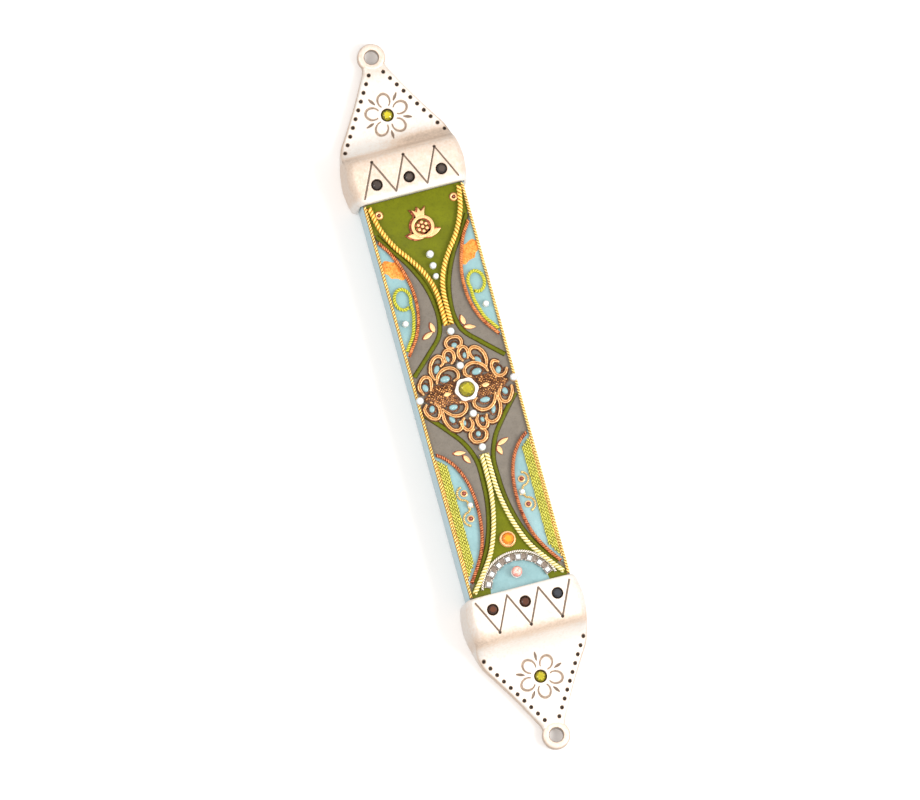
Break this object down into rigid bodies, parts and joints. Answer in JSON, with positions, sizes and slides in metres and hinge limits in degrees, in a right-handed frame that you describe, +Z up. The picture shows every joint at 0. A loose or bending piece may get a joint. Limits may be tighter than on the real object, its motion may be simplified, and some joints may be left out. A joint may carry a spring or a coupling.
{
  "type": "mezuzah case",
  "caption": "Slim upright case with a jewelled face plate, a hanging ring on each cast end cap, an upper cap that pulls off and a rolled parchment inside.",
  "frame": {"origin": "the middle of the case's flat back, on the face that lies against the door post", "axes": "+Z runs up the case, +Y points into the door post, and -Y is the decorated front"},
  "size_m": [0.031, 0.0133, 0.18],
  "materials": {
    "silver": "bright silver plate on a soft casting, brown patina in the engraving",
    "blue_paint": "satin paint",
    "olive_enamel": "enamel fields of olive, taupe and light blue",
    "gold": "gold plate",
    "cream_gold": "pale gold",
    "copper": "copper-red lacquered wire",
    "antique_gold": "antiqued gold with brown patina",
    "lime": "lime cord in clear lacquer",
    "ivory": "white-washed silver",
    "pearl": "pearl lustre",
    "coral": "gloss",
    "garnet": "polished",
    "lime_crystal": "faceted, foil-backed",
    "smoky_crystal": "faceted, foil-backed",
    "amber_crystal": "faceted, foil-backed",
    "parchment": "matt"
  },
  "bodies": {
    "case": {"lower_cap": "silver", "lower_left_band_crystal": "smoky_crystal", "lower_middle_band_crystal": "smoky_crystal", "lower_right_band_crystal": "smoky_crystal", "lower_flower_crystal": "lime_crystal", "centre_crystal": "lime_crystal", "body_tube": "blue_paint", "face_plate": "olive_enamel", "left_border_wire": "gold", "right_border_wire": "gold", "upper_left_rope": "gold", "upper_right_rope": "gold", "emblem": "gold", "left_corner_ring": "gold", "right_corner_ring": "gold", "bezel": "gold", "left_curls": "gold", "right_curls": "gold", "lower_left_rope": "cream_gold", "lower_right_rope": "cream_gold", "upper_left_lens_rope": "copper", "upper_right_lens_rope": "copper", "lower_left_lens_rope": "copper", "lower_right_lens_rope": "copper", "left_lime_rope": "lime", "right_lime_rope": "lime", "left_woven_band": "lime", "right_woven_band": "lime", "filigree": "antique_gold", "setting": "ivory", "cup_chain": "ivory", "arch_rope": "ivory", "rosette_top_pearl": "pearl", "rosette_bottom_pearl": "pearl", "rosette_left_pearl": "pearl", "rosette_right_pearl": "pearl", "rosette_upper_pearl": "pearl", "rosette_lower_pearl": "pearl", "row_first_pearl": "pearl", "row_second_pearl": "pearl", "row_third_pearl": "pearl", "left_lens_pearl": "pearl", "right_lens_pearl": "pearl", "left_curl_bead": "pearl", "right_curl_bead": "pearl", "coral_bead": "coral", "left_corner_garnet": "garnet", "right_corner_garnet": "garnet", "left_upper_curl_garnet": "garnet", "left_lower_curl_garnet": "garnet", "right_upper_curl_garnet": "garnet", "right_lower_curl_garnet": "garnet", "amber_crystal": "amber_crystal"},
    "upper_cap_body": {"upper_cap": "silver", "upper_left_band_crystal": "smoky_crystal", "upper_middle_band_crystal": "smoky_crystal", "upper_right_band_crystal": "smoky_crystal", "upper_flower_crystal": "lime_crystal"},
    "parchment": {"scroll": "parchment"}
  },
  "joints": [
    {"name": "cap_slide", "type": "slide", "parent": "case", "child": "upper_cap_body", "axis": [0, 0, 1], "range_m": [0, 0.128]},
    {"name": "parchment_slide", "type": "slide", "parent": "case", "child": "parchment", "axis": [0, 0, 1], "range_m": [0, 0.118]}
  ],
  "couplings": [
    {"joint": "parchment_slide", "follows": "cap_slide", "ratio": 0.92}
  ]
}
